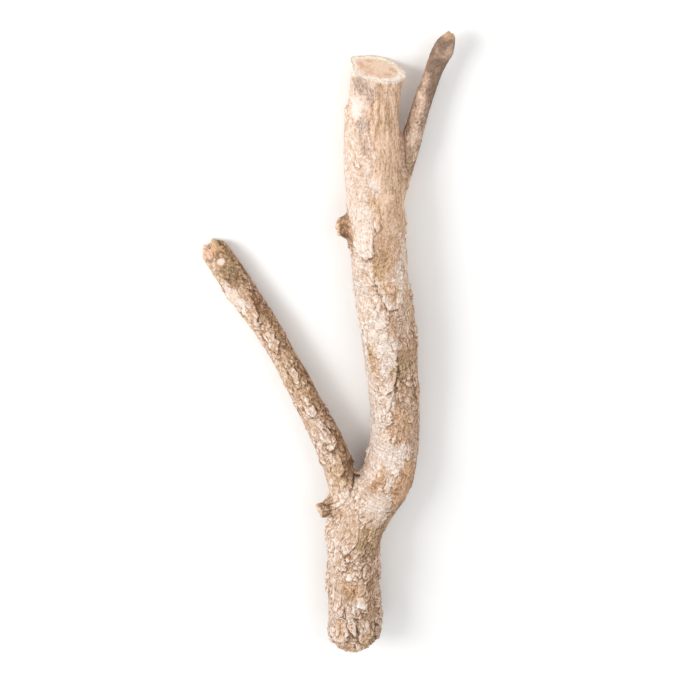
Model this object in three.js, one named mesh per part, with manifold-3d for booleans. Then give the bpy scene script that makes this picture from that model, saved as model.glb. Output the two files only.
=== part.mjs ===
// A fallen tree branch, lying on a level surface. Millimetres, +Z up.
//
// The stem lies along Y, with its thick base at -Y and the sawn top of its main limb at +Y. At the
// main fork the limb bends away to +X and a thinner side branch leaves to -X and droops until its tip
// lies on the ground. Near the top a twig leaves the limb on its +X side. Two short stubs are what is
// left of twigs that snapped off. The wood grew as one piece, so it is built as one solid first and is
// then parted at its two forks. The origin is on the ground under the middle of the branch.
import * as THREE from "three";
import { mergeVertices } from "three/addons/utils/BufferGeometryUtils.js";
import Module from "manifold-3d";

const wasm = await Module();
wasm.setup();

const FORK_GAP = 0.35; // the parting between two pieces at a fork
const REACH = 600; // longer than the branch is in any direction from a cutting plane
const OVERCUT = 16; // how far the limb is grown past its sawn face, before it is sawn

// Each limb has a list of stations from its root to its tip: centre x, y, z and the radius there. Its
// skin has this many sides and rings, and its own seed for where it swells.
const STEM_AND_LIMB = {
  sides: 28,
  rings: 74,
  seed: 0.6,
  stations: [
    [3, -238, 17.2, 16.4],
    [3, -231, 17.6, 18],
    [2.8, -203, 18.6, 18.5],
    [2.5, -168, 20.2, 18.9],
    [4, -140, 21.2, 20],
    [13.6, -119.5, 20.8, 19.3],
    [24, -102, 18.8, 18.8],
    [29.5, -79, 16.7, 17.1],
    [30.3, -50, 16.8, 17.1],
    [27.8, -16, 18.6, 18],
    [25, 15, 20.6, 19.1],
    [20.6, 45, 20.3, 18.3],
    [17.8, 75, 20.9, 18.5],
    [15.7, 103, 20.1, 18.5],
    [13.5, 130, 19.5, 18.6],
    [13.6, 156, 17.4, 17.7],
    [15, 176, 16, 16.4],
    [16.7, 195, 16.2, 16.8],
    [18.4, 195 + OVERCUT, 16.4, 16.8],
  ],
};
const SIDE_BRANCH = {
  sides: 18,
  rings: 42,
  seed: 2.3,
  stations: [
    [3, -132, 20.5, 15],
    [0, -117, 20, 13.5],
    [-4, -102, 18.8, 11.2],
    [-9.2, -86.5, 17.4, 9.8],
    [-18.5, -64, 15.6, 9.2],
    [-29.3, -40, 14, 8.5],
    [-41, -14.5, 12.6, 8],
    [-52.5, 8.5, 11.2, 8],
    [-63.2, 27, 10.2, 8.7],
    [-72, 41, 9.3, 9.2],
    [-79.5, 55, 8.6, 8.9],
    [-86.5, 66.5, 8.1, 8.4],
    [-89.5, 71.5, 7.9, 7.9],
  ],
};
const TWIG = {
  sides: 14,
  rings: 34,
  seed: 4.1,
  stations: [
    [18, 88, 18.5, 9],
    [24, 103, 17.5, 9],
    [29.5, 118, 16.2, 8],
    [34.2, 133, 15, 6.6],
    [38, 146.5, 14.3, 6],
    [41.5, 161, 14, 5.8],
    [46, 177, 14, 5.6],
    [51, 193.5, 14.5, 5.5],
    [55.6, 206, 15.5, 6.2],
    [58.3, 212, 16, 5],
    [60.2, 217, 16.3, 2.8],
  ],
};
const LIMB_STUB = {
  sides: 12,
  rings: 5,
  seed: 1.2,
  stations: [
    [6, 90, 20, 11],
    [-2, 90.5, 20.5, 9],
    [-6.5, 90.5, 21, 6.4],
    [-9.6, 91, 21.5, 2.8],
  ],
};
const FORK_STUB = {
  sides: 12,
  rings: 6,
  seed: 5.2,
  stations: [
    [0, -119, 22, 13.5],
    [-8, -117.5, 25, 10.2],
    [-14.5, -118, 28.5, 5.8],
    [-20.5, -119, 31, 4.4],
  ],
};

// The sawn face of the limb: its middle, and the way that it looks.
const SAWN_AT = new THREE.Vector3(16.7, 195, 16.2);
const SAWN_NORMAL = new THREE.Vector3(0.22, 0.97, 0.1).normalize();
// The broken face of the side branch.
const BROKEN_AT = new THREE.Vector3(-87, 67.8, 8);
const BROKEN_NORMAL = new THREE.Vector3(-0.5, 0.82, 0.28).normalize();

// Where the pieces part. The stem ends square to its length under the main fork, and the limb and the
// side branch part along the crotch above it. The twig parts along the limb's flank.
const STEM_TOP = { x: 2, y: -110 };
const MAIN_CROTCH = { x: 6.5, y: -92 };
const TWIG_CROTCH = { x: 32.8, y: 152 };
const TWIG_HEEL = { x: 36, y: 102 };

// A point deep inside each piece, by which it is told from the others.
const INSIDE = {
  lower_stem: [3, -220, 18],
  main_limb: [20, 45, 20],
  side_branch: [-41, -14.5, 12.6],
  twig: [45.5, 177, 14],
};

// How lumpy each limb is, as a share of its radius, and how long its lumps are. The lumps are waves
// that wind round the limb: each takes a share of the height, has so many crests in a full turn, and
// twists as it goes along. A limb's seed shifts each wave by its own amount.
const LUMP_SHARE = 0.035;
const LUMP_LENGTH = 21;
const LUMP_WAVES = [
  { height: 0.5, crests: 2, twist: 0.9, shift: 1 },
  { height: 0.3, crests: 3, twist: -1.3, shift: 2.1 },
  { height: 0.2, crests: 1, twist: 2.2, shift: 3.7 },
];

// How far the slits between the pieces reach to each side of the stem.
const SLIT_REACH = 60;

function lump(angle, along, seed) {
  let height = 0;
  for (const wave of LUMP_WAVES) {
    const phase = (wave.twist * along) / LUMP_LENGTH + wave.shift * seed;
    height += wave.height * Math.sin(wave.crests * angle + phase);
  }
  return height;
}

// A limb: a cylinder bent along the smooth curve through its stations, with their radii.
function limbGeometry({ sides, rings, seed, stations }) {
  const line = new THREE.CatmullRomCurve3(
    stations.map(([x, y, z]) => new THREE.Vector3(x, y, z)),
    false,
    "centripetal",
  );
  const radii = new THREE.SplineCurve(
    stations.map(([, , , r], i) => new THREE.Vector2(i, r)),
  );
  const length = line.getLength();
  const frames = line.computeFrenetFrames(rings, false);
  const geometry = new THREE.CylinderGeometry(1, 1, 1, sides, rings);
  const position = geometry.getAttribute("position");
  const unit = new THREE.Vector3();
  for (let i = 0; i < position.count; i++) {
    unit.fromBufferAttribute(position, i);
    const share = THREE.MathUtils.clamp(unit.y + 0.5, 0, 1);
    const ring = Math.round(share * rings);
    const angle = Math.atan2(unit.z, unit.x);
    const onAxis = Math.hypot(unit.x, unit.z);
    const grown = 1 + LUMP_SHARE * lump(angle, share * length, seed);
    const radius = radii.getPoint(line.getUtoTmapping(share, 0)).y * grown * onAxis;
    const point = line
      .getPointAt(share)
      .addScaledVector(frames.normals[ring], radius * Math.cos(angle))
      .addScaledVector(frames.binormals[ring], radius * Math.sin(angle));
    position.setXYZ(i, point.x, point.y, point.z);
  }
  return geometry;
}

// The closed solid of a geometry, turned outside out if its faces point in.
function solidOf(geometry) {
  const bare = geometry.clone();
  bare.deleteAttribute("normal");
  bare.deleteAttribute("uv");
  const merged = mergeVertices(bare, 1e-3);
  const triVerts = new Uint32Array(merged.index.array);
  const vertProperties = merged.attributes.position.array;
  const made = new wasm.Manifold(new wasm.Mesh({ numProp: 3, vertProperties, triVerts }));
  if (made.volume() > 0) return made;
  for (let i = 0; i < triVerts.length; i += 3) {
    [triVerts[i + 1], triVerts[i + 2]] = [triVerts[i + 2], triVerts[i + 1]];
  }
  return new wasm.Manifold(new wasm.Mesh({ numProp: 3, vertProperties, triVerts }));
}

function limb(shape) {
  return solidOf(limbGeometry(shape));
}

// All of space, as far as it matters here, on the side of a plane that its normal points to.
function beyond(point, normal) {
  const block = new THREE.BoxGeometry(REACH, REACH, REACH);
  block.translate(0, 0, REACH / 2);
  const turn = new THREE.Quaternion().setFromUnitVectors(new THREE.Vector3(0, 0, 1), normal);
  block.applyQuaternion(turn);
  block.translate(point.x, point.y, point.z);
  return solidOf(block);
}

// An upright slab as thick as the gap at a fork, from one point on the plan to another.
function slit(from, to) {
  const across = new THREE.Vector2(to.x - from.x, to.y - from.y);
  const slab = new THREE.BoxGeometry(across.length(), FORK_GAP, REACH);
  slab.rotateZ(across.angle());
  slab.translate((from.x + to.x) / 2, (from.y + to.y) / 2, 0);
  return solidOf(slab);
}

function wholeBranch() {
  const ground = beyond(new THREE.Vector3(0, 0, 0), new THREE.Vector3(0, 0, -1));
  return limb(STEM_AND_LIMB)
    .subtract(beyond(SAWN_AT, SAWN_NORMAL))
    .add(limb(SIDE_BRANCH).subtract(beyond(BROKEN_AT, BROKEN_NORMAL)))
    .add(limb(TWIG))
    .add(limb(LIMB_STUB))
    .add(limb(FORK_STUB))
    .subtract(ground);
}

// Parts the whole at its forks, and gives each piece the name of the point that it holds.
function partAtForks(whole) {
  const stemCut = slit(
    { x: STEM_TOP.x - SLIT_REACH, y: STEM_TOP.y },
    { x: STEM_TOP.x + SLIT_REACH, y: STEM_TOP.y },
  );
  const crotchCut = slit(STEM_TOP, MAIN_CROTCH);
  const twigCut = slit(TWIG_HEEL, TWIG_CROTCH);
  const pieces = whole.subtract(stemCut).subtract(crotchCut).subtract(twigCut).decompose();
  if (pieces.length !== Object.keys(INSIDE).length) {
    throw new Error(`the branch parts into ${pieces.length} pieces`);
  }
  return Object.entries(INSIDE).map(([name, [x, y, z]]) => {
    const probe = solidOf(new THREE.BoxGeometry(1, 1, 1).translate(x, y, z));
    return [name, pieces.find((piece) => !piece.intersect(probe).isEmpty())];
  });
}

function geometryOf(solid) {
  const { numProp, vertProperties, triVerts } = solid.getMesh();
  const count = vertProperties.length / numProp;
  const positions = new Float32Array(count * 3);
  for (let i = 0; i < count; i++) {
    positions.set(vertProperties.subarray(i * numProp, i * numProp + 3), i * 3);
  }
  return new THREE.BufferGeometry()
    .setAttribute("position", new THREE.BufferAttribute(positions, 3))
    .setIndex(new THREE.BufferAttribute(new Uint32Array(triVerts), 1));
}

const COLOURS = {
  lower_stem: 0xc2a48c,
  main_limb: 0xcbae94,
  side_branch: 0xb59a80,
  twig: 0x97806e,
};

const branch = new THREE.Group();
for (const [name, solid] of partAtForks(wholeBranch())) {
  const material = new THREE.MeshStandardMaterial({
    color: COLOURS[name],
    roughness: 0.9,
    metalness: 0,
  });
  const mesh = new THREE.Mesh(geometryOf(solid), material);
  mesh.name = name;
  branch.add(mesh);
}

// The origin goes on the ground under the middle of the branch.
const middle = new THREE.Box3().setFromObject(branch).getCenter(new THREE.Vector3());
branch.position.set(-middle.x, -middle.y, 0);

export default branch;
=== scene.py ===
"""A fallen tree branch with flaking bark, lying on a pale floor. Metres, +Z up."""

import math

import bmesh
import bpy
import numpy as np
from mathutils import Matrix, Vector
from mathutils.bvhtree import BVHTree


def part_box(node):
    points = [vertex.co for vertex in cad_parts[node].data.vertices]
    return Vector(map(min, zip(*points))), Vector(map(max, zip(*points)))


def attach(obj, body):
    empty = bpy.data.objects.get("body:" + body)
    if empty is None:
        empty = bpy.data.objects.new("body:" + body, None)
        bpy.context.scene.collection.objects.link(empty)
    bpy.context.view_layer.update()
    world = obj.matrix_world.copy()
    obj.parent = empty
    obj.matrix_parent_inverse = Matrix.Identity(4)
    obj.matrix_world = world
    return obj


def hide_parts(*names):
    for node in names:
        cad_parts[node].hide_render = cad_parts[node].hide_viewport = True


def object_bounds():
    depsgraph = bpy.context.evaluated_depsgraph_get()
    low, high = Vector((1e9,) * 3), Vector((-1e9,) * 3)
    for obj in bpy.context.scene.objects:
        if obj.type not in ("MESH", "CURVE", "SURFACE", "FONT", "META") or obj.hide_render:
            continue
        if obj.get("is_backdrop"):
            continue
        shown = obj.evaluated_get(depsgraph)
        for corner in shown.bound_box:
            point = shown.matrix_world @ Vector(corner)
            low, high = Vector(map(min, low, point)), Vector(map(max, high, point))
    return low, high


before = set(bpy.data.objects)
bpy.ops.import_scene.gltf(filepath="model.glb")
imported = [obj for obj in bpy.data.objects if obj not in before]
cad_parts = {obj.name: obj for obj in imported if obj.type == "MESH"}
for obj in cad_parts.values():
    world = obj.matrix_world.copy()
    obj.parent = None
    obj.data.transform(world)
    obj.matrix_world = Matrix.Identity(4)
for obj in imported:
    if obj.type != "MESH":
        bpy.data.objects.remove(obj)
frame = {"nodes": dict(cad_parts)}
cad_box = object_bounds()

MM = 0.001
SEED = 5

# == Random fields: every value comes from whole-number hashing, so each run gives the same bark.


def hashed(cells, seed):
    """A number from 0 to 1 for each row of whole-number grid cells."""
    x, y, z = cells.astype(np.int64).astype(np.uint64).T
    mixed = (x * np.uint64(73856093)) ^ (y * np.uint64(19349663)) ^ (z * np.uint64(83492791))
    mixed = mixed ^ np.uint64(seed * 2654435761 % (1 << 32))
    for shift, factor in ((33, 0xFF51AFD7ED558CCD), (29, 0xC4CEB9FE1A85EC53)):
        mixed = (mixed ^ (mixed >> np.uint64(shift))) * np.uint64(factor)
    mixed ^= mixed >> np.uint64(32)
    return (mixed % np.uint64(1 << 24)).astype(float) / (1 << 24)


def value_noise(points, seed):
    """Smooth noise from -1 to 1 with one bump for each unit of length."""
    base = np.floor(points)
    part = points - base
    fade = part * part * part * (part * (part * 6 - 15) + 10)
    total = np.zeros(len(points))
    for corner in np.ndindex(2, 2, 2):
        weight = np.prod(np.where(corner, fade, 1 - fade), axis=1)
        total += weight * hashed(base + corner, seed)
    return total * 2 - 1


def noise(points, size, seed, octaves=3, gain=0.5):
    """Layered noise from about -1 to 1, whose largest bumps are of this size."""
    total = np.zeros(len(points))
    share = 1.0
    whole = 0.0
    turned = points / size
    for octave in range(octaves):
        total += share * value_noise(turned, SEED + seed + 17 * octave)
        whole += share
        share *= gain
        turned = turned[:, [1, 2, 0]] * 2.03 + 7.1
    return total / whole


def cells(points, size, seed):
    """A pattern of cells: the gap to the nearest crack, a number for each cell, and the place along it."""
    scaled = points / size
    base = np.floor(scaled)
    first = np.full(len(points), 9.0)
    second = np.full(len(points), 9.0)
    value = np.zeros(len(points))
    ahead = np.zeros(len(points))
    for corner in np.ndindex(3, 3, 3):
        cell = base + np.array(corner) - 1
        jitter = np.stack([hashed(cell, SEED + seed + k) for k in (1, 2, 3)], axis=1)
        offset = scaled - cell - jitter
        gap = sizes(offset)
        nearer = gap < first
        second = np.where(nearer, first, np.minimum(second, gap))
        value = np.where(nearer, hashed(cell, SEED + seed + 4), value)
        ahead = np.where(nearer, offset[:, 0], ahead)
        first = np.where(nearer, gap, first)
    return second - first, value, ahead


def step(low, high, value):
    """0 below low, 1 above high, and a smooth rise between."""
    share = np.clip((value - low) / (high - low), 0, 1)
    return share * share * (3 - 2 * share)


def hump(value, width):
    """1 where the value is 0, fading away to both sides."""
    return np.exp(-((value / width) ** 2))


def sizes(rows):
    """The length of each row, as a vector."""
    return np.linalg.norm(rows, axis=1)


def unit(vector):
    vector = np.array(vector, float)
    return vector / np.linalg.norm(vector)


def read_off(wanted, places, rows):
    """Rows at these wanted places, from rows that stand at other places."""
    return np.stack([np.interp(wanted, places, column) for column in rows.T], axis=1)


# == The limbs' centre lines, read from the CAD nodes.

UP = np.array((0.0, 0.0, 1.0))
SLICE = 7 * MM
ROUND_SPREAD = 0.16  # a slice whose radius varies more than this goes through a fork or a stub


def vectors(mesh, source):
    """The places of a mesh's vertices, or a vector that it stores for each of them."""
    flat = np.empty(len(mesh.vertices) * 3)
    getattr(mesh, source).foreach_get("co" if source == "vertices" else "vector", flat)
    return flat.reshape(-1, 3)


def node_faces(node):
    """The middles, normals and areas of a CAD node's faces."""
    faces = frame["nodes"][node].data.polygons
    middles = np.array([face.center for face in faces])
    normals = np.array([face.normal for face in faces])
    areas = np.array([face.area for face in faces])
    return middles, normals, areas


def sliced(nodes, axis):
    """Centres and radii of the round slices through nodes, in order along axis."""
    middles, normals, areas = (np.concatenate(rows) for rows in zip(*map(node_faces, nodes)))
    side = abs(normals @ axis) < 0.6
    middles, areas = middles[side], areas[side]
    along = middles @ axis
    found = []
    for level in np.arange(along.min() + SLICE / 2, along.max(), SLICE):
        near = abs(along - level) < SLICE / 2
        if near.sum() < 8:
            continue
        weight = areas[near] / areas[near].sum()
        centre = weight @ middles[near]
        across = middles[near] - centre
        across -= np.outer(across @ axis, axis)
        radii = sizes(across)
        if radii.std() < ROUND_SPREAD * radii.mean():
            found.append((*centre, weight @ radii))
    return np.array(found)


LINE_STEP = 3 * MM
LINE_SMOOTHING = 8
PAST_END = 14 * MM  # how far a centre line runs on past the last slice at a free end


def run_on(stations):
    """Stations with one more, straight on past the last one."""
    last, before = stations[-1], stations[-2]
    ahead = unit((last - before)[:3])
    return np.vstack([stations, (*(last[:3] + ahead * PAST_END), last[3])])


class Limb:
    """A limb's centre line: points a short step apart, the radius at each, and its length so far."""

    def __init__(self, stations, starts_at=0.0):
        gaps = sizes(np.diff(stations[:, :3], axis=0))
        lengths = np.concatenate([[0], np.cumsum(gaps)])
        fine = np.arange(0, lengths[-1], LINE_STEP)
        rows = read_off(fine, lengths, stations)
        for _ in range(LINE_SMOOTHING):
            rows[1:-1] = (rows[:-2] + 2 * rows[1:-1] + rows[2:]) / 4
        self.points = rows[:, :3]
        self.radii = rows[:, 3]
        tangents = np.gradient(self.points, axis=0)
        self.tangents = tangents / sizes(tangents)[:, None]
        self.lengths = starts_at + fine
        self.starts_at = starts_at

    def locate(self, places):
        """For each place: its length along the limb, how far right and up it is from the line, the limb's
        radius there, and how far off the limb's surface it is."""
        nearest = np.zeros(len(places), int)
        least = np.full(len(places), 9.0)
        for i, point in enumerate(self.points):
            gap = sizes(places - point)
            nearer = gap < least
            nearest[nearer] = i
            least = np.where(nearer, gap, least)
        tangent = self.tangents[nearest]
        offset = places - self.points[nearest]
        ahead = (offset * tangent).sum(1)
        last = len(self.points) - 1
        exact = np.clip(nearest + ahead / LINE_STEP, 0, last)
        whole = np.arange(last + 1)
        tangent = read_off(exact, whole, self.tangents)
        up = UP - tangent * tangent[:, 2:3]
        up /= sizes(up)[:, None]
        right = np.cross(tangent, up)
        offset = places - read_off(exact, whole, self.points)
        along = self.starts_at + exact * LINE_STEP
        radius = np.interp(exact, whole, self.radii)
        gap = sizes(offset) - radius
        return along, (offset * right).sum(1), (offset * up).sum(1), radius, gap


def own_axis(node, towards):
    """The direction that a node is longest in."""
    middles = node_faces(node)[0]
    _, _, rows = np.linalg.svd(middles - middles.mean(0), full_matrices=False)
    axis = rows[0]
    return axis if axis @ towards > 0 else -axis


def grown_from(parent, stations, back):
    """Stations of a limb with one more at its start, on its parent's line this far back."""
    gap = sizes(parent.points - stations[0, :3])
    at = max(0, gap.argmin() - round(back / LINE_STEP))
    root = (*parent.points[at], stations[0, 3])
    return np.vstack([root, stations]), parent.lengths[at]


ALONG_STEM = np.array((0.0, 1.0, 0.0))
trunk_slices = run_on(sliced(("lower_stem", "main_limb"), ALONG_STEM))
trunk = Limb(run_on(trunk_slices[::-1])[::-1], -PAST_END)
side_axis = own_axis("side_branch", (-1, 1, 0))
twig_axis = own_axis("twig", (1, 1, 0))
side = Limb(*grown_from(trunk, run_on(sliced(("side_branch",), side_axis)), 24 * MM))
twig = Limb(*grown_from(trunk, run_on(sliced(("twig",), twig_axis)), 36 * MM))
LIMBS = {"trunk": trunk, "side": side, "twig": twig}


# == The smooth skin under the bark: the CAD nodes joined into one, with soft forks and no facets.

VOXEL = 1.1 * MM
GROWN = 0.35 * MM  # closes the gaps between the nodes, and makes up for what smoothing takes away
SAWN_STUB = 6 * MM  # the sawn end is made this much too long, and is then cut back to its face
SAWN_REACH = 24 * MM  # further from the sawn face's middle than any of its rim
HALVES_REACH = 28 * MM  # the same, for where the main limb is parted
PROBE = 15 * MM


def flat_end(node, towards, probe=PROBE):
    """A point on the flat face at a node's end, and the way that it looks."""
    middles, normals, areas = node_faces(node)
    reach = middles @ towards
    facing = (normals @ towards > 0.8) & (reach > reach.max() - probe)
    weight = areas[facing] / areas[facing].sum()
    return weight @ middles[facing], unit(weight @ normals[facing])


sawn_at, sawn_normal = flat_end("main_limb", ALONG_STEM)
broken_at, broken_normal = flat_end("side_branch", side_axis)
base_at, base_normal = flat_end("lower_stem", -ALONG_STEM)


def finished(shape, name):
    """A new mesh from a bmesh, which is freed."""
    mesh = bpy.data.meshes.new(name)
    shape.to_mesh(mesh)
    shape.free()
    return mesh


def in_scene(name, data):
    """A new object in the scene."""
    made = bpy.data.objects.new(name, data)
    bpy.context.scene.collection.objects.link(made)
    return made


def grown_mesh(node):
    """A node's mesh with its faces joined up, a little fatter, and with its sawn end drawn out."""
    grown = bmesh.new()
    grown.from_mesh(frame["nodes"][node].data)
    bmesh.ops.remove_doubles(grown, verts=grown.verts, dist=0.001 * MM)
    grown.normal_update()
    for vert in grown.verts:
        on_face = abs((np.array(vert.co) - sawn_at) @ sawn_normal) < 0.05 * MM
        vert.co += vert.normal * GROWN
        if on_face:
            vert.co += Vector(sawn_normal) * SAWN_STUB
    return finished(grown, node + "_grown")


SMOOTHING = (
    ("REMESH", {"mode": "VOXEL", "voxel_size": VOXEL}),
    ("SMOOTH", {"factor": 0.5, "iterations": 7}),
    ("SUBSURF", {"levels": 1, "render_levels": 1}),
)


def smooth_skin():
    """One closed mesh of small quads round the whole branch."""
    skin = bmesh.new()
    for node in frame["nodes"]:
        skin.from_mesh(grown_mesh(node))
    obj = in_scene("skin", finished(skin, "skin"))
    for kind, settings in SMOOTHING:
        modifier = obj.modifiers.new(kind, kind)
        for setting, value in settings.items():
            setattr(modifier, setting, value)
    graph = bpy.context.evaluated_depsgraph_get()
    mesh = bpy.data.meshes.new_from_object(obj.evaluated_get(graph))
    bpy.data.objects.remove(obj)
    return mesh


# The forks are parted where the CAD nodes are: square across the stem, and upright along each crotch.
# The main limb is parted once more, half-way up, to keep each mesh a fair size.
stem_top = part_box("lower_stem")[1].y
HALFWAY = 282 * MM
halfway = int((trunk.lengths < HALFWAY).sum())
halves_at, halves_axis = trunk.points[halfway], trunk.tangents[halfway]


def crotch_plane(inner, outer):
    """A point on the upright plane between two nodes, and its normal: midway between their nearest sides."""
    inner_points, outer_points = (vectors(frame["nodes"][node].data, "vertices") for node in (inner, outer))
    pairs = []
    for point in outer_points:
        gap = sizes(inner_points - point)
        if gap.min() < 0.6 * MM and abs(point[1] - stem_top) > 2 * MM:
            pairs.append((point + inner_points[gap.argmin()]) / 2)
    pairs = np.array(pairs)[:, :2]
    middle = pairs.mean(0)
    _, _, rows = np.linalg.svd(pairs - middle)
    normal = np.array((rows[1][0], rows[1][1], 0))
    low, high = pairs[:, 1].min(), pairs[:, 1].max()
    return np.array((*middle, 0)), normal, low, high


def part_along(skin, point, normal, inside, **options):
    """Cuts the skin's faces that are inside a region along a plane, and marks the cut as a seam."""
    faces = [face for face in skin.faces if inside(face.calc_center_median())]
    edges = dict.fromkeys(edge for face in faces for edge in face.edges)
    verts = dict.fromkeys(vert for face in faces for vert in face.verts)
    options.update(dist=0.002 * MM, plane_co=point, plane_no=normal)
    cut = bmesh.ops.bisect_plane(skin, geom=[*faces, *edges, *verts], **options)
    for item in cut["geom_cut"]:
        if isinstance(item, bmesh.types.BMEdge):
            item.seam = not item.is_boundary


def within(reach, place):
    """A test for being this close to a place."""
    return lambda at: (at - Vector(place)).length < reach


def parted_skin():
    """The smooth skin with its sawn end cut open and its forks marked by seams."""
    skin = bmesh.new()
    skin.from_mesh(smooth_skin())
    part_along(skin, sawn_at, sawn_normal, within(SAWN_REACH, sawn_at), clear_outer=True)
    part_along(skin, (0, stem_top, 0), (0, 1, 0), lambda at: abs(at.y - stem_top) < 3 * MM)
    part_along(skin, halves_at, halves_axis, within(HALVES_REACH, halves_at))
    for inner, outer in (("main_limb", "side_branch"), ("main_limb", "twig")):
        point, normal, low, high = crotch_plane(inner, outer)

        def near(at):
            gap = abs((np.array(at) - point) @ normal)
            return gap < 3 * MM and low - 10 * MM < at.y < high + 8 * MM

        part_along(skin, point, normal, near)
    skin.normal_update()
    return finished(skin, "skin")


# == The bark: where each point of the skin is, how high the bark stands there, and what marks it has.

BLEND = 2.5 * MM  # how softly one limb's bark runs into the next at a fork


TINTS = ("grey", "olive", "rust")
# The gap mark is painted shade: it darkens the colour in cracks, creases, under loose flakes, beside the
# stubs and in hollows at the broken ends.
MARKS = ("tone", "raised", "gap", "rim", "thread", "cross", "plates", "calm", *TINTS, "wood", "ring")
EVERYWHERE = slice(None)
PATCH_TONES = {"cream": 0.92, "grey": 0.5, "olive": 0.44, "rust": 0.52, "shade": 0.24}


def wrapped(degrees):
    return (degrees + 180) % 360 - 180


class Bark:
    """The smooth skin's points, each one's place on its limb, and the bark's height and marks there. All of
    its lengths are in mm, and each mark is from 0 to 1."""

    def __init__(self, mesh):
        places = vectors(mesh, "vertices")
        self.points = places / MM
        self.normals = vectors(mesh, "vertex_normals")
        found = {name: limb.locate(places) for name, limb in LIMBS.items()}
        reach = {name: np.exp(-np.clip(row[4], 0, 12 * BLEND) / BLEND) for name, row in found.items()}
        total = sum(reach.values())
        self.share = {name: value / total for name, value in reach.items()}
        nearest = np.argmax([self.share[name] for name in LIMBS], axis=0)
        own = [np.choose(nearest, [found[name][k] for name in LIMBS]) / MM for k in range(4)]
        self.along, self.right, self.up, self.radius = own
        self.turn = np.degrees(np.arctan2(self.right, self.up))
        self.grain = np.stack([self.along, self.right, self.up], axis=1)
        edges = np.empty(len(mesh.edges) * 2, int)
        mesh.edges.foreach_get("vertices", edges)
        self.edges = edges.reshape(-1, 2)
        self.height = np.zeros(len(places))
        self.push = np.zeros_like(places)
        for name in MARKS:
            setattr(self, name, np.zeros(len(places)))
        self.ragged = [self.wander(seed) for seed in (1, 2)]
        self.broken = noise(self.grain, 5, 4, 3, 0.6)

    def wander(self, seed):
        """How far a patch's outline strays."""
        return 1.8 * noise(self.grain, 8, seed, 2) + 1.5 * noise(self.grain, 2.4, seed + 50, 2)

    def spread(self, values, times):
        """Values averaged with their neighbours this many times."""
        a, b = self.edges.T
        count = np.bincount(a, minlength=len(values)) + np.bincount(b, minlength=len(values)) + 1
        for _ in range(times):
            total = values + np.bincount(a, values[b], len(values)) + np.bincount(b, values[a], len(values))
            values = total / count
        return values

    def gap_to(self, place):
        """How far the points are from a place that is given in metres."""
        return sizes(self.points - place / MM)

    def at_least(self, name, values, near=EVERYWHERE):
        """Raises a mark to these values where it is lower."""
        mark = getattr(self, name)
        mark[near] = np.maximum(mark[near], values)

    def fade(self, names, share, near=EVERYWHERE):
        """Takes this share off some marks."""
        for name in names:
            getattr(self, name)[near] *= 1 - share

    def retone(self, tone, share, near=EVERYWHERE):
        """Brings the tone this share of the way to another."""
        self.tone[near] += share * (tone - self.tone[near])

    def around(self, limb, along, turn, reach):
        """The points near a place on a limb, and how far each is past it and to the right of it."""
        past = self.along - along
        near = np.nonzero((self.share[limb] > 0.3) & (abs(past) < reach))[0]
        ahead = past[near] + self.ragged[0][near]
        aside = np.radians(wrapped(self.turn[near] - turn)) * self.radius[near] + self.ragged[1][near]
        close = abs(aside) < reach
        return near[close], ahead[close], aside[close]

    def flake(self, limb, along, turn, length, width, lift, lean):
        """A tongue of bark that is loose at its lower end and grows out of the bark above it. A painted
        shadow lies under its loose edge, and its rim is partly the pale curled edge of the bark and partly a
        painted highlight.
        """
        near, ahead, aside = self.around(limb, along, turn, 1.2 * length)
        lean = math.radians(lean)
        down = -ahead * math.cos(lean) + aside * math.sin(lean)
        across = aside * math.cos(lean) + ahead * math.sin(lean)
        reach = np.hypot(np.clip(down + length * 0.1, 0, None) / (length * 0.6), across / (width * 0.5))
        inside = (1 - reach) * width * 0.5
        loose = step(-0.55 * length, 0.15 * length, down)
        over = step(-0.25, 0.45, inside)
        curl = 1 + 0.5 * step(3, 0, inside)
        # under is where a painted shadow lies, beneath the loose edge.
        under = step(-1.3, -0.1, inside) * (1 - over) * loose
        share = over * loose
        self.height[near] = self.height[near] * (1 - 0.35 * share) + lift * curl * share - 0.3 * lift * under
        patchy = step(-0.5, 0.5, self.broken[near])
        # The rim mark is partly the pale curled edge and partly a painted highlight. The gap mark and the
        # darker tone under the edge are painted shadow.
        edge = share * step(0.9, 0.1, inside) * step(0.6, -0.4, self.broken[near])
        self.fade(("gap",), 0.8 * share, near)
        self.at_least("gap", under * patchy * min(1, lift / 1.2), near)
        self.fade(("rim",), share, near)
        self.at_least("rim", edge, near)
        self.tone[near] += 0.02 * share - 0.14 * under

    def blot(self, name, limb, along, turn, length, width, strength):
        """A ragged patch of one mark, with its own tone."""
        near, ahead, aside = self.around(limb, along, turn, max(length, width))
        reach = np.hypot(ahead / (length * 0.5), aside / (width * 0.5))
        inside = (1 - reach) * min(length, width) * 0.5
        value = strength * step(-2.2, 2.2, inside + 3.5 * self.broken[near])
        self.retone(PATCH_TONES[name], value, near)
        if name == "cream":
            self.at_least("calm", 0.7 * value, near)
        elif name in TINTS:
            self.at_least(name, value, near)


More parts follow.
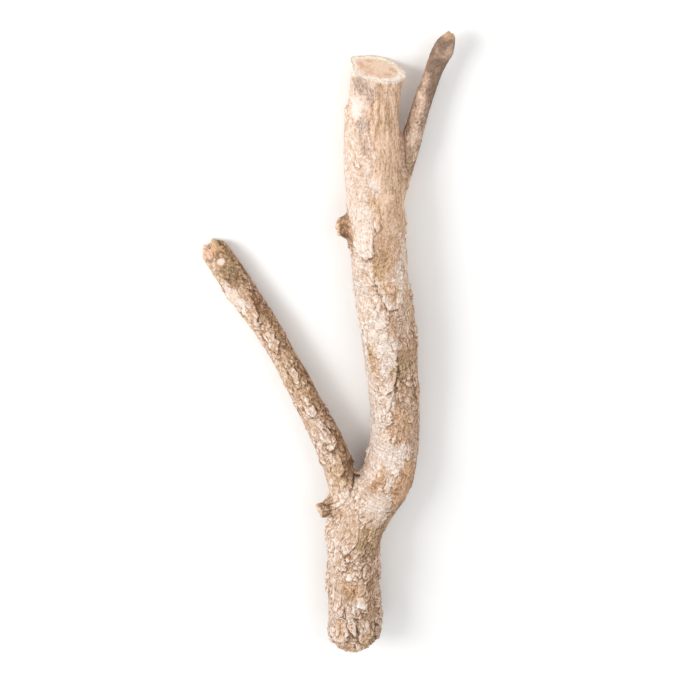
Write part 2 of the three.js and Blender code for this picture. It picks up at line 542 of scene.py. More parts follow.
# Along the trunk, in mm: how far round to the right the pale bark reaches, in degrees from the top,
# how brown the bark is past that, and how rough it is.
# The brown on the right of the trunk and of the side branch is partly the bark's own colour and partly
# painted shade.
TRUNK_BARK = (
    (-14, 40, 0.6, 0.8),
    (30, 30, 0.34, 0.8),
    (80, 26, 0.1, 0.75),
    (100, 0, 0.6, 0.7),
    (118, 30, 0.7, 0.6),
    (150, 34, 0.9, 0.5),
    (180, 14, 0.8, 0.6),
    (214, -6, 0.85, 0.7),
    (240, 4, 0.95, 0.75),
    (262, 12, 0.9, 0.75),
    (290, -14, 0.62, 0.6),
    (330, -22, 0.34, 0.45),
    (350, -4, 0.4, 0.4),
    (372, 6, 0.4, 0.35),
    (395, -10, 0.35, 0.3),
    (460, -18, 0.3, 0.3),
)
PALE, BROWN_STEP = 0.86, 0.46  # the tone of pale bark, and how much less the brownest has
STEM_TONE = -0.25  # the stem is a little darker all round
UPPER_TONE = -0.1  # so is the top of the limb
BACK_EDGE = -125  # how far round the pale bark reaches the other way
WORN_OFF = 1.0  # how much lower the trunk's bark starts, in mm, to make room for its flakes

# Flakes that stand out: limb, length along it, turn from the top, length, width, lift and lean.
NAMED_FLAKES = (
    ("trunk", 306, 20, 40, 19, 1.1, -4),
    ("trunk", 250, -22, 52, 21, 1.1, 6),
    ("trunk", 337, -30, 26, 15, 0.7, 8),
    ("trunk", 204, -34, 26, 14, 0.7, 0),
    ("trunk", 66, 8, 26, 13, 1.3, 14),
    ("trunk", 52, 22, 20, 9, 1.4, -12),
    ("trunk", 30, -5, 30, 6.5, 2.2, 3),
    ("trunk", 18, -34, 24, 13, 1.5, 4),
    ("trunk", 14, 24, 20, 10, 1.5, -6),
    ("trunk", 40, -40, 24, 12, 1.3, 0),
    ("trunk", 84, -30, 22, 10, 1.1, 6),
    ("trunk", 78, 34, 20, 10, 1.1, -16),
    ("trunk", 102, -18, 20, 9, 1.1, 0),
    ("side", 286, 0, 24, 8, 0.9, -8),
    ("side", 262, 12, 22, 7, 0.8, -4),
    ("side", 236, 14, 22, 6, 0.9, 0),
    ("side", 206, 8, 20, 6, 0.8, 4),
    ("side", 178, 18, 20, 7, 1.0, 0),
    ("side", 158, 8, 18, 8, 1.0, 4),
)

# Patches: mark, limb, length along it, turn from the top, length, width and strength.
PATCHES = (
    ("grey", "trunk", 440, -30, 24, 19, 0.8),
    ("olive", "trunk", 441, -38, 18, 9, 0.4),
    ("cream", "trunk", 425, -44, 18, 12, 1.0),
    ("grey", "trunk", 413, -25, 24, 8, 1.0),
    ("cream", "trunk", 379, 5, 9, 9, 0.8),
    ("cream", "trunk", 366, 25, 9, 10, 0.8),
    ("olive", "trunk", 362, 3, 14, 8, 0.6),
    ("olive", "trunk", 320, 4, 20, 13, 0.7),
    ("rust", "trunk", 330, 22, 26, 20, 0.5),
    ("rust", "trunk", 302, 14, 14, 10, 0.6),
    ("olive", "trunk", 250, -38, 30, 9, 0.5),
    ("olive", "trunk", 240, 20, 30, 12, 0.6),
    ("rust", "trunk", 196, 12, 30, 18, 0.7),
    ("rust", "trunk", 152, 44, 34, 20, 1.0),
    ("cream", "trunk", 176, 16, 7, 9, 0.8),
    ("rust", "trunk", 150, -22, 16, 8, 0.9),
    ("cream", "trunk", 130, -2, 15, 15, 0.7),
    ("olive", "trunk", 104, 22, 24, 18, 0.8),
    ("olive", "trunk", 120, 62, 26, 12, 0.8),
    ("rust", "trunk", 57, -4, 18, 12, 0.9),
    ("cream", "trunk", 47, 10, 12, 6, 0.8),
    ("shade", "trunk", 62, 42, 14, 6, 0.3),
    ("olive", "trunk", 10, 36, 22, 12, 0.8),
    ("grey", "trunk", 30, -62, 40, 9, 0.7),
    ("cream", "side", 301, -24, 26, 8, 0.8),
    ("olive", "side", 316, 16, 14, 13, 1.0),
    ("olive", "side", 262, 50, 30, 6, 0.6),
    ("olive", "side", 205, 58, 22, 8, 0.3),
    ("shade", "side", 284, 46, 34, 6, 0.6),
    ("shade", "side", 313, 18, 13, 11, 0.7),
    ("olive", "side", 150, 10, 18, 14, 0.5),
    ("shade", "side", 152, 50, 18, 9, 0.5),
    ("cream", "side", 190, 4, 30, 7, 0.3),
    ("cream", "twig", 438, -34, 16, 5, 0.6),
    ("cream", "twig", 424, -14, 16, 7, 0.4),
    ("cream", "twig", 408, 4, 20, 9, 0.45),
    ("shade", "twig", 420, 40, 20, 5, 0.5),
    ("cream", "twig", 464, -26, 6, 4, 0.18),
    ("rust", "twig", 469, 34, 12, 6, 0.6),
    ("olive", "twig", 396, 30, 12, 12, 0.8),
)

# Bumps where a bud or a knot lies under the bark: limb, length along it, turn, width and height.
KNOTS = (
    ("trunk", 418, -86, 9, 1.8),
    ("trunk", 372, -58, 9, 0.9),
    ("trunk", 134, -58, 16, 1.6),
    ("side", 300, -60, 14, 1.0),
    ("twig", 467, -34, 7, 0.8),
    ("twig", 468, 60, 7, 0.7),
)

# Loose flakes at random: limb, how many, from and to what length along it, how long and how lifted.
LOOSE_FLAKES = (
    ("trunk", 75, -8, 118, 15, 0.6),
    ("trunk", 50, 112, 200, 8, 0.35),
    ("trunk", 70, 190, 350, 11, 0.35),
    ("trunk", 8, 345, 440, 9, 0.25),
    ("side", 200, 138, 322, 5.5, 0.35),
    ("twig", 14, 384, 420, 6, 0.25),
)

# Sizes of scale, in mm, and how far each stands up.
SCALES = ((9, 0.55), (4.6, 0.42), (2.6, 0.3))


def tones(bark):
    """How pale the bark is before any patches: paler to the left, browner to the right. The brown is partly
    the bark's own under-layer and partly painted shade on the side turned away from the key light.
    """
    lengths, edges, browns, roughs = np.array(TRUNK_BARK, float).T
    at = bark.along
    edge = np.interp(at, lengths, edges)
    wander = noise(bark.grain, 16, 3, 4, 0.65)
    past = np.minimum(edge - bark.turn, (bark.turn - BACK_EDGE)) / 14 + 2.0 * wander
    brown = np.interp(at, lengths, browns) * step(0.9, -0.9, past)
    trunk = PALE + STEM_TONE * step(165, 100, at) + UPPER_TONE * step(335, 370, at) - BROWN_STEP * brown
    side = 0.59 + 0.05 * wander - 0.24 * step(-0.4, 0.9, (bark.turn - 34) / 22 + 1.2 * wander)
    upper = step(430, 448, at + 14 * wander + 0.12 * bark.turn)
    twig = 0.38 - 0.22 * upper - 0.12 * step(408, 396, at + 6 * wander)
    on_trunk, on_side, on_twig = (bark.share[name] for name in LIMBS)
    bark.tone = on_trunk * trunk + on_side * side + on_twig * twig
    bark.rough = on_trunk * np.interp(at, lengths, roughs) + on_side * 0.62 + on_twig * 0.22
    bark.thread = on_trunk * step(340, 375, at) * step(-0.5, 0.8, -past)
    bark.cross = on_trunk * step(112, 130, at) * step(350, 330, at) * step(-0.6, 0.6, past)
    bark.grey = 0.55 * on_twig
    bark.calm = on_twig * (0.2 + 0.5 * upper)
    bark.plates = np.clip(bark.rough * 1.15, 0, 1)
    bark.rust = 0.7 * on_trunk * step(330, 360, at) * step(0.6, -0.8, past)
    bark.olive = 0.35 * on_side * step(0.2, -0.2, wander)
    layer = on_trunk * step(350, 320, at) * step(0.25, -0.25, past)
    bark.height -= 0.6 * layer + WORN_OFF * on_trunk


def scales(bark):
    """Scales in a few sizes, each tipped so that its lower end stands over the next one down."""
    warp = np.stack(bark.ragged, axis=1)[:, [0, 1, 1]]
    for k, (size, rise) in enumerate(SCALES):
        squeezed = (bark.grain + warp * (0.5 + size / 12)) * (1 / 1.9, 1, 1)
        gap, level, ahead = cells(squeezed, size, 60 + k)
        whole = step(-0.45, 0.3, noise(bark.grain, 14, 65 + k, 2))
        # The cracks between the scales are given the gap mark, which is painted shade.
        crack = step(0.13, 0.01, gap) * step(-0.35, 0.35, bark.broken)
        tipped = 0.9 * (level - 0.5) - 0.75 * ahead
        bark.height += rise * bark.rough * whole * (tipped - 0.5 * crack)
        bark.at_least("gap", 0.5 * crack * whole * np.clip(bark.rough, 0, 1))


def scattered_flakes(bark):
    chance = np.random.default_rng(SEED)
    for limb, count, low, high, length, lift in LOOSE_FLAKES:
        for _ in range(count):
            own_length = length * chance.uniform(0.5, 1.5)
            place = chance.uniform(low, high), chance.uniform(-180, 180)
            size = own_length, own_length * chance.uniform(0.34, 0.7), lift * chance.uniform(0.5, 1.4)
            bark.flake(limb, *place, *size, chance.uniform(-25, 25))
    for row in NAMED_FLAKES:
        bark.flake(*row)


def crumbs(bark):
    """Fine crumbling all over, and long threads where the upper limb is stringy."""
    rough = 0.35 + 0.65 * bark.rough
    grit = noise(bark.grain * (0.7, 1, 1), 4.5, 7, 4, 0.72)
    bark.height += 0.7 * rough * (abs(grit) * 1.6 - 0.3)
    bark.height += 0.6 * noise(bark.points, 26, 8, 2)
    drawn = bark.grain * (0.1, 1, 1)
    threads = noise(drawn, 1.8, 70, 2) + 0.6 * noise(drawn, 4.5, 71, 2)
    bark.height += threads * (0.1 + 0.28 * bark.thread)


def wrinkles(bark):
    """Creases across the bark where the limb bends out of the fork, with painted shade in each trough."""
    near = step(112, 126, bark.along) * step(158, 140, bark.along) * bark.share["trunk"]
    near *= step(60, 20, abs(bark.turn + 2))
    phase = bark.along * 1.9 + bark.turn * 0.035 + 5 * noise(bark.grain, 9, 80, 2)
    ridge = np.sin(phase) * step(-0.2, 0.5, noise(bark.grain, 8, 81, 2))
    bark.height += 0.45 * near * ridge
    bark.at_least("gap", 0.9 * near * step(-0.5, -0.9, ridge))


def knots(bark):
    """Bumps where the knots are."""
    for limb, along, turn, width, height in KNOTS:
        near, ahead, aside = bark.around(limb, along, turn, 1.5 * width)
        bark.height[near] += height * hump(np.hypot(ahead, aside), 0.5 * width)


def coloured_patches(bark):
    for row in PATCHES:
        bark.blot(*row)


# == The broken, sawn and worn ends.


def broken_tip(bark):
    """Splintered, pale wood where the side branch snapped, with painted shade between the splinters."""
    offset = bark.points - broken_at / MM
    facing = step(0.25, 0.75, bark.normals @ broken_normal)
    facing *= step(13, 10, sizes(offset))
    teeth = noise(bark.grain * (0.15, 1, 1), 3.2, 90, 2)
    lean = offset @ np.array((0.85, 0.5, 0.0)) / 8
    bark.at_least("wood", facing)
    bark.at_least("ring", 0.5 * facing)
    bark.at_least("grey", 0.7 * facing * step(-0.5, 0.3, lean))
    bark.fade(("gap",), facing)
    bark.at_least("gap", facing * step(0.1, -0.4, teeth))
    peak = hump(lean - 0.15, 0.3) + 0.8 * hump(lean + 0.85, 0.25)
    bark.push += np.outer(facing * (3.5 * teeth - 1.2 * lean + 2.6 * peak - 1.8), side_axis)


def worn_base(bark):
    """A blunt, uneven end on the stem."""
    behind = (bark.points - base_at / MM) @ base_normal
    near = step(-7, 0, behind) * bark.share["trunk"]
    facing = step(0.35, 0.8, bark.normals @ base_normal) * near
    patchy = noise(bark.points * (1, 0.2, 1), 9, 95, 3)
    bark.push -= np.outer(near * (1.4 + 2.2 * patchy), base_normal)
    bark.height -= 1.2 * near * (1 - facing)
    bark.at_least("wood", 0.55 * facing)
    bark.at_least("grey", 0.7 * facing)
    bark.at_least("ring", facing * np.hypot(bark.right, bark.up) / bark.radius)


def twig_tip(bark):
    """A small orange break at the end of the twig."""
    ahead = bark.points @ twig_axis
    near = step(-4, -1, ahead - ahead[bark.share["twig"] > 0.9].max()) * bark.share["twig"]
    bark.at_least("wood", 0.4 * near)
    bark.retone(0.42, near)
    bark.at_least("rust", near)
    bark.fade(("grey",), near)
    bark.push += np.outer(near * 1.6 * noise(bark.points, 2.5, 97, 2), twig_axis)


LEFT = np.array((-1.0, 0, 0))

# The two stubs: node, how long, how bare and how rusty the break is, how torn, and the tone behind it, which
# is partly brown bark and partly painted shade.
STUBS = (
    ("lower_stem", 6, 1.0, 0.1, 0.5, 0.22),
    ("main_limb", 8, 0.4, 0.8, 2.6, 0.22),
)


def snapped_stubs(bark):
    """The ends of the two stubs: one a clean pink break, the other a torn brown wedge, each with painted
    shadow on its sides that face along the stem.
    """
    for node, reach, wood, rust, tear, stub_tone in STUBS:
        end, _ = flat_end(node, LEFT, 3 * MM)
        gap = bark.gap_to(end)
        near = step(reach, reach - 2, gap)
        facing = step(0.3, 0.7, -bark.normals[:, 0]) * near
        torn = noise(bark.points * (0.25, 1, 1), 2.6, 98, 3)
        body = step(2.6 * reach, reach, gap) * step(0, 3, 13 + end[0] / MM - bark.points[:, 0])
        bark.at_least("wood", wood * facing)
        bark.at_least("ring", 0.5 * facing)
        bark.at_least("rust", rust * body)
        bark.retone(stub_tone + 0.4 * torn, body * (1 - facing))
        bark.at_least("gap", near * step(0.3, 0.7, abs(bark.normals[:, 1]) - 0.6 * torn))
        bark.height += tear * near * torn


def sawn_edge(bark):
    """Bare, pale bark along the saw cut, with an uneven outline."""
    behind = -(bark.points - sawn_at / MM) @ sawn_normal
    close = (bark.gap_to(sawn_at) < 26) & (behind > -1)
    depth = 1.6 + 4.5 * step(-28, -60, bark.turn)
    bare = close * step(1.4, 0.5, behind / depth + 0.5 * bark.broken)
    bark.retone(0.92, bare)
    bark.fade((*TINTS, "thread", "gap"), bare)
    lip = close * step(9, 0, behind)
    corner = 2.2 * hump(wrapped(bark.turn + 112), 26) + 1.2 * hump(wrapped(bark.turn - 80), 24)
    bark.height += lip * (corner + 1.2 * noise(bark.points, 9, 36, 2))
    torn = close * step(2.2, 0.9, behind) * step(0.3, 0.9, behind)
    # A torn notch in the rim, darkened with painted shade.
    notch = torn * step(-46, -40, bark.turn) * step(-14, -22, bark.turn)
    bark.at_least("gap", 0.7 * notch)
    bark.edge = close * step(1.2, 0.2, behind)


def scar(bark):
    """A round, pale scar near the side branch's tip, where a twig came away."""
    near, ahead, aside = bark.around("side", 326, 8, 8)
    gap = np.hypot(ahead - bark.ragged[0][near] * 0.8, aside - bark.ragged[1][near] * 0.8)
    disc = step(2.9, 2.2, gap)
    lip = step(2.0, 2.9, gap) * step(4.2, 3.1, gap)
    bark.height[near] += 0.5 * lip - 0.2 * disc - bark.height[near] * disc
    bark.retone(0.86, disc, near)
    bark.tone[near] -= 0.2 * lip
    bark.at_least("calm", disc, near)
    bark.fade(("olive", "gap", "plates"), disc, near)


def crotch_shadow(bark):
    """The deep crease in the main fork with painted shade in it, and painted shade with an olive tint round
    the side branch's root.
    """
    meeting = 4 * bark.share["trunk"] * bark.share["side"]
    joined = bark.points[(meeting > 0.9) & (bark.normals[:, 2] > 0)]
    top = joined[joined[:, 1].argmax()]
    close = step(17, 5, sizes(bark.points - top))
    bark.height += 1.6 * meeting * (1 - close) * noise(bark.points, 5, 84, 3, 0.6)
    narrow = step(0.75, 1, meeting + 0.25 * bark.broken)
    bark.height -= 2 * close * narrow
    bark.at_least("gap", close * narrow)
    root = step(24, 8, sizes(bark.points - top)) * bark.share["side"]
    bark.tone -= 0.2 * root * step(-0.5, 0.3, bark.broken)
    bark.at_least("olive", 0.6 * root)


def relief(mesh):
    """The bark on a smooth skin, with all of its height and marks."""
    bark = Bark(mesh)
    body = (tones, scales, wrinkles, scattered_flakes, crumbs, coloured_patches, knots, crotch_shadow)
    ends = (broken_tip, worn_base, twig_tip, snapped_stubs, scar, sawn_edge)
    for stage in body + ends:
        stage(bark)
    # raised is high on ridges and low in hollows. The material pales the ridges and darkens the hollows with
    # it, partly as the outer bark's own paler colour and partly as painted shade.
    fine = bark.height - bark.spread(bark.height, 6)
    broad = bark.height - bark.spread(bark.height, 40)
    raised = np.clip(0.5 + fine / 0.9 + broad / 2.4, 0, 1)
    bark.raised = raised + bark.edge * (0.6 - raised)
    return bark


LOWEST, HIGHEST = -3.0, 2.2  # how far the bark may go in and out from the smooth skin, in mm


def raised(bark):
    """The skin's points with the bark on them. None goes under the ground or off the sawn plane."""
    height = np.clip(bark.height, LOWEST, HIGHEST)
    points = bark.points + bark.normals * height[:, None] + bark.push
    points[:, 2] = np.maximum(points[:, 2], 0.05)
    on_rim = abs((bark.points - sawn_at / MM) @ sawn_normal) < 0.01
    on_rim &= bark.gap_to(sawn_at) < SAWN_REACH / MM
    off = (points[on_rim] - sawn_at / MM) @ sawn_normal
    points[on_rim] -= np.outer(off, sawn_normal)
    return points * MM


def write_marks(mesh, bark):
    """Stores the marks on a mesh, for its materials to read."""
    for name in MARKS:
        mesh.attributes.new(name, "FLOAT", "POINT").data.foreach_set("value", getattr(bark, name))
    grain = mesh.attributes.new("grain", "FLOAT_VECTOR", "POINT")
    grain.data.foreach_set("vector", (bark.grain * MM).ravel())


# == The sawn face: rings of points from the rim to the pith.

RING_COUNT = 26
BARK_SHARE = 0.76  # where the wood ends and the bark begins, as a share of the way from pith to rim
PITH_SHIFT = 2.5 * MM
YEARS = 11
SAW_CENTRE = np.array((55, 0, 30)) * MM  # the saw marks bend round this, from the sawn face's middle


def loops(edges):
    """Closed runs of vertices round the holes that these boundary edges surround."""
    following = {}
    for edge in edges:
        loop = edge.link_loops[0]
        following[loop.vert] = loop.link_loop_next.vert
    found = []
    while following:
        vert = next(iter(following))
        run = []
        while vert in following:
            run.append(vert)
            vert = following.pop(vert)
        found.append(run)
    return found


def sawn_height(share, places):
    """How far the sawn face stands off its plane: year rings, saw marks, cracks and a torn bark edge."""
    bow = sizes(places - sawn_at - SAW_CENTRE)
    saw = 0.14 * MM * np.sin(bow / (0.45 * MM)) * (0.4 + 0.6 * noise(places / MM, 6, 30, 2))
    years = 0.08 * MM * np.sin(2 * math.pi * YEARS * share + 1.5 * noise(places / MM, 9, 31, 2))
    torn = 0.5 * MM * noise(places / MM, 2.2, 32, 3) - 0.3 * MM
    groove = -0.35 * MM * hump(share - BARK_SHARE, 0.02)
    in_bark = step(BARK_SHARE - 0.01, BARK_SHARE + 0.01, share)
    return ((saw + years) * (1 - in_bark) + torn * in_bark + groove) * step(1.0, 0.97, share)


def add_sawn_face(whole):
    """Closes the sawn end of the trunk with a face of its own."""
    rim = max(loops([edge for edge in whole.edges if edge.is_boundary]), key=len)
    edge_points = np.array([vert.co for vert in rim])
    layers = {name: whole.verts.layers.float[name] for name in MARKS}
    grain = whole.verts.layers.float_vector["grain"]
    across = unit(np.cross(sawn_normal, UP))
    pith = edge_points.mean(0) - across * PITH_SHIFT
    to_rim = edge_points - pith
    spokes = pith / MM + 8 * to_rim / sizes(to_rim)[:, None]
    edge_grain = np.array([vert[grain] for vert in rim])
    pith_grain = edge_grain.mean(0)
    thick = 0.1 * noise(spokes, 6, 34, 3)
    chips = 1.5 * MM * step(0.05, 0.6, noise(spokes, 2.6, 35, 2))
    for vert, chip in zip(rim, chips):
        vert.co -= Vector(sawn_normal) * chip
    outer = rim
    for k in range(1, RING_COUNT):
        share = 1 - (k / RING_COUNT) ** 0.9
        places = pith + to_rim * share
        ring = np.clip(share + thick * share, 0, 1)
        drop = chips * step(0.88, 1, share + 2 * thick)
        places = places + np.outer(sawn_height(ring, places) - drop, sawn_normal)
        inner = []
        ring_grain = pith_grain + (edge_grain - pith_grain) * share
        for place, own_grain, value in zip(places, ring_grain, ring):
            vert = whole.verts.new(place)
            for name, own in (("wood", 1), ("tone", PALE), ("raised", 0.5), ("ring", value)):
                vert[layers[name]] = own
            vert[grain] = own_grain
            inner.append(vert)
        for i in range(len(rim)):
            j = (i + 1) % len(rim)
            whole.faces.new((outer[j], outer[i], inner[i], inner[j])).smooth = True
        outer = inner
    middle = whole.verts.new(pith)
    middle[layers["wood"]] = 1
    middle[grain] = pith_grain
    for i in range(len(rim)):
        whole.faces.new((outer[(i + 1) % len(rim)], outer[i], middle)).smooth = True


# == The pieces: the one skin, parted at the seams into a closed mesh for each CAD node.


def parted(whole):
    """Groups of faces that no seam parts."""
    seen = set()
    groups = []
    for start in whole.faces:
        if start in seen:
            continue
        seen.add(start)
        group = [start]
        for face in group:
            for edge in face.edges:
                for other in () if edge.seam else edge.link_faces:
                    if other not in seen:
                        seen.add(other)
                        group.append(other)
        groups.append(group)
    return groups


def close_holes(piece):
    """Closes each open end of a piece with a fan of triangles."""
    for run in loops([edge for edge in piece.edges if edge.is_boundary]):
        middle = piece.verts.new(sum((vert.co for vert in run), Vector()) / len(run))
        for i, vert in enumerate(run):
            piece.faces.new((run[(i + 1) % len(run)], vert, middle))


def node_of(points):
    """The CAD node whose surface these points lie on."""

    def misfit(node):
        data = frame["nodes"][node].data
        corners = [vert.co for vert in data.vertices]
        tree = BVHTree.FromPolygons(corners, [face.vertices for face in data.polygons])
        return sum(tree.find_nearest(Vector(point))[3] for point in points[:: len(points) // 100])

    return min(frame["nodes"], key=misfit)


def piece_name(node, points):
    if node != "main_limb":
        return node + "_bark"
    upper = (points.mean(0) - halves_at) @ halves_axis > 0
    return "main_limb_upper_bark" if upper else "main_limb_lower_bark"


def piece_mesh(whole, faces, name):
    """A closed mesh of these faces, which keeps the whole skin's shading across its cuts."""
    kept = {face.index for face in faces}
    piece = whole.copy()
    piece.faces.ensure_lookup_table()
    bmesh.ops.delete(piece, geom=[face for face in piece.faces if face.index not in kept], context="FACES")
    close_holes(piece)
    mesh = finished(piece, name)
    mesh.polygons.foreach_set("use_smooth", [True] * len(mesh.polygons))
    stored = mesh.attributes["skin_normal"]
    normals = np.empty(len(mesh.vertices) * 3)
    stored.data.foreach_get("vector", normals)
    mesh.normals_split_custom_set_from_vertices(normals.reshape(-1, 3))
    mesh.attributes.remove(mesh.attributes["skin_normal"])
    return mesh


def branch_pieces(material):
    """The finished branch: one object for each CAD node, or two for the main limb."""
    mesh = parted_skin()
    bark = relief(mesh)
    write_marks(mesh, bark)
    mesh.vertices.foreach_set("co", raised(bark).ravel())
    whole = bmesh.new()
    whole.from_mesh(mesh)
    add_sawn_face(whole)
    whole.normal_update()
    whole.faces.index_update()
    kept_normal = whole.verts.layers.float_vector.new("skin_normal")
    for vert in whole.verts:
        vert[kept_normal] = vert.normal
    for group in parted(whole):
        points = np.array([vert.co for face in group for vert in face.verts])
        node = node_of(points)
        name = piece_name(node, points)
        piece = in_scene(name, piece_mesh(whole, group, name))
        piece.data.materials.append(material)
        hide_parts(node)
        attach(piece, "root")
    whole.free()


# == Materials.


def srgb(red, green, blue):
    """A colour from its screen values, 0 to 255."""
    shares = [value / 255 for value in (red, green, blue)]
    return [s / 12.92 if s <= 0.04045 else ((s + 0.055) / 1.055) ** 2.4 for s in shares] + [1]


class Shader:
    """A node material, with a short call for each kind of node that the branch needs."""

    def __init__(self, name):
        self.material = bpy.data.materials.new(name)
        self.material.use_nodes = True
        self.tree = self.material.node_tree
        self.surface = self.tree.nodes["Principled BSDF"]

    def node(self, kind, inputs=(), **settings):
        made = self.tree.nodes.new("ShaderNode" + kind)
        for setting, value in settings.items():
            setattr(made, setting, value)
        for key, value in dict(inputs).items():
            self.feed(made.inputs[key], value)
        return made

    def feed(self, socket, value):
        if isinstance(value, bpy.types.NodeSocket):
            self.tree.links.new(value, socket)
        else:
            socket.default_value = value

    def mark(self, name):
        return self.node("Attribute", attribute_name=name).outputs["Fac"]

    def grain(self, *stretch):
        """The place along and across the wood, squeezed along each direction."""
        place = self.node("Attribute", attribute_name="grain").outputs["Vector"]
        return self.node("VectorMath", {0: place, 1: stretch}, operation="MULTIPLY").outputs[0]

    def noise(self, vector, size, detail=3, roughness=0.6, distortion=0):
        inputs = {"Vector": vector, "Scale": 1 / size, "Detail": detail}
        inputs.update({"Roughness": roughness, "Distortion": distortion})
        return self.node("TexNoise", inputs).outputs[0]

    def warped(self, vector, size, amount):
        """The vector, pushed about by noise of this size."""
        inputs = {"Vector": vector, "Scale": 1 / size, "Detail": 2}
        colour = self.node("TexNoise", inputs).outputs["Color"]
        inputs = {0: colour, 1: (amount,) * 3, 2: vector}
        return self.node("VectorMath", inputs, operation="MULTIPLY_ADD").outputs[0]

    def plates(self, vector, size):
        """A cracked pattern: how close the nearest crack is, from 0 to 1, and a number for each plate."""
        inputs = {"Vector": vector, "Scale": 1 / size}
        edge = self.node("TexVoronoi", inputs, feature="DISTANCE_TO_EDGE").outputs["Distance"]
        plate = self.node("TexVoronoi", inputs, feature="F1").outputs["Color"]
        return edge, self.node("SeparateColor", {0: plate}).outputs[0]

    def ranged(self, value, low, high, to_low=0.0, to_high=1.0):
        inputs = {"Value": value, "From Min": low, "From Max": high, "To Min": to_low, "To Max": to_high}
        return self.node("MapRange", inputs, interpolation_type="SMOOTHSTEP").outputs[0]

    def math(self, operation, *values, clamp=False):
        return self.node("Math", enumerate(values), operation=operation, use_clamp=clamp).outputs[0]

    def times(self, first, second):
        """A product, kept from 0 to 1."""
        return self.math("MULTIPLY", first, second, clamp=True)

    def larger(self, first, second):
        return self.math("MAXIMUM", first, second, clamp=True)

    def added(self, total, value, middle, weight):
        """A total, plus how far a value is from its middle times a weight."""
        part = self.math("MULTIPLY_ADD", value, weight, -middle * weight)
        return self.math("ADD", total, part)

    def ramp(self, value, column):
        """The bark's colour at this tone, from one column of its colours."""
        made = self.node("ValToRGB", {"Fac": value})
        elements = made.color_ramp.elements
        while len(elements) < len(BARK_COLOURS):
            elements.new(0.5)
        for element, row in zip(elements, BARK_COLOURS):
            element.position = row[0]
            element.color = srgb(*row[column])
        return made.outputs["Color"]

    def mix(self, share, first, second, blend="MIX"):
        made = self.node("Mix", data_type="RGBA", blend_type=blend)
        self.feed(made.inputs[0], share)
        self.feed(made.inputs[6], first)
        self.feed(made.inputs[7], second)
        return made.outputs[2]


# The bark's colours from its deepest brown to its palest cream: the tone, and a yellower and a pinker one.
BARK_COLOURS = (
    (0.0, (112, 80, 56), (112, 86, 70)),
    (0.22, (150, 113, 82), (152, 120, 100)),
    (0.42, (190, 152, 120), (196, 168, 150)),
    (0.6, (214, 179, 148), (221, 199, 185)),
    (0.78, (233, 207, 180), (238, 220, 208)),
    (1.0, (249, 234, 214), (250, 238, 228)),
)
DARK = srgb(82, 56, 38)
GREY = srgb(214, 191, 176)
OLIVE = srgb(170, 142, 108)
RUST = srgb(204, 162, 126)
WOOD = srgb(246, 218, 194)
WOOD_RING = srgb(222, 176, 146)
WOOD_PALE = srgb(252, 242, 226)
WORN_WOOD = srgb(206, 172, 132)
# painted shade on bare wood
WOOD_SHADE = srgb(140, 104, 78)


